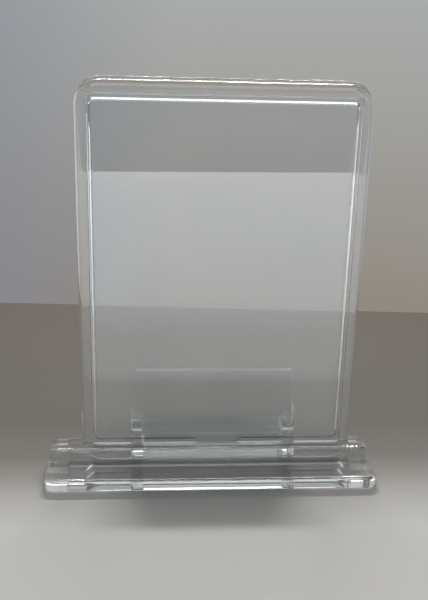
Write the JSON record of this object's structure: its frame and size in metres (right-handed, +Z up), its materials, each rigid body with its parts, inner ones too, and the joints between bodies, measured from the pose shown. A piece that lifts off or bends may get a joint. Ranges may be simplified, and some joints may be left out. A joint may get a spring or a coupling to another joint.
{
  "type": "trading card display case",
  "caption": "Clear upright card case of a tray and a pressed-in cover, standing in a low slotted base with a support plate behind it.",
  "frame": {"origin": "on the table, in the middle of the base's length and depth", "axes": "+X to the right seen from the front, +Y to the back, +Z up; the case faces -Y"},
  "size_m": [0.0896, 0.0322, 0.1058],
  "materials": {
    "base_plastic": "clear polystyrene, moulded and polished",
    "support_plastic": "clear polystyrene, moulded and polished",
    "tray_plastic": "clear polystyrene, moulded and polished",
    "cover_plastic": "clear polystyrene, moulded and polished"
  },
  "bodies": {
    "stand": {"stand_base": "base_plastic", "support_plate": "support_plastic"},
    "tray": {"case_tray": "tray_plastic"},
    "cover": {"front_cover": "cover_plastic"}
  },
  "joints": [
    {"name": "case_lift", "type": "slide", "parent": "stand", "child": "tray", "axis": [0, 0, 1], "range_m": [0, 0.03]},
    {"name": "cover_pull", "type": "slide", "parent": "tray", "child": "cover", "axis": [0, -1, 0], "range_m": [0, 0.012]}
  ]
}
